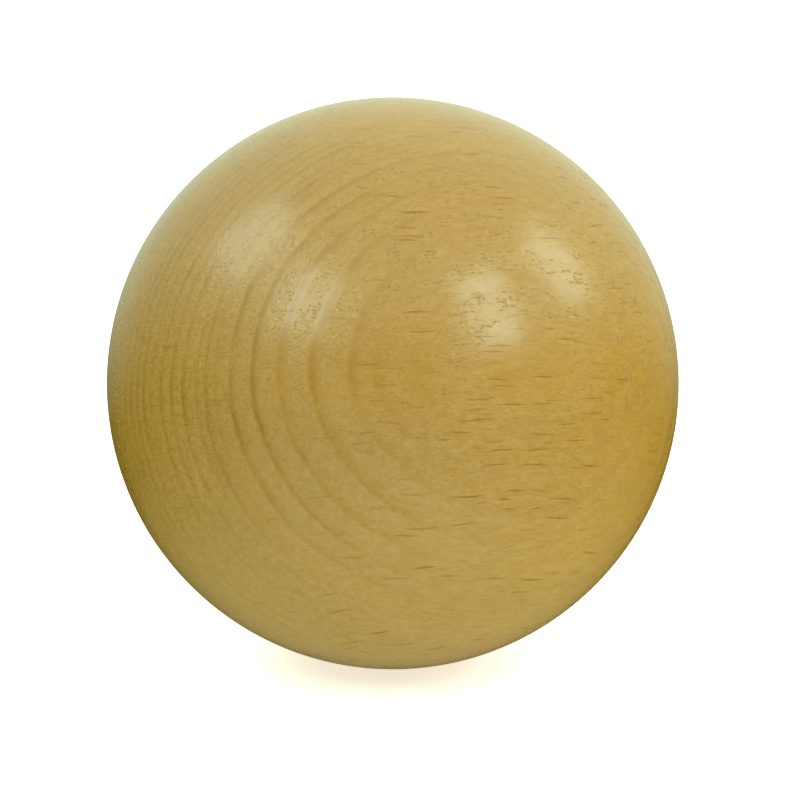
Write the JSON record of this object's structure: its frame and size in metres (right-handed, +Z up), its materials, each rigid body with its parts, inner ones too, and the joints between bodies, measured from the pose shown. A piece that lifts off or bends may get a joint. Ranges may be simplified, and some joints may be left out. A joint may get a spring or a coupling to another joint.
{
  "type": "wooden ball",
  "caption": "Solid turned ball of pale hardwood under a satin clear lacquer, with curved growth rings and short ray flecks.",
  "frame": {"origin": "the ball's centre", "axes": "+X to the right seen from the front, +Y from the front to the back, +Z up; the grain runs nearly level, about 30 degrees from +X towards +Y"},
  "size_m": [0.06, 0.06, 0.06],
  "materials": {
    "lacquered_beech": "satin clear lacquer over turned beech"
  },
  "bodies": {
    "root": {"ball": "lacquered_beech"}
  },
  "joints": []
}
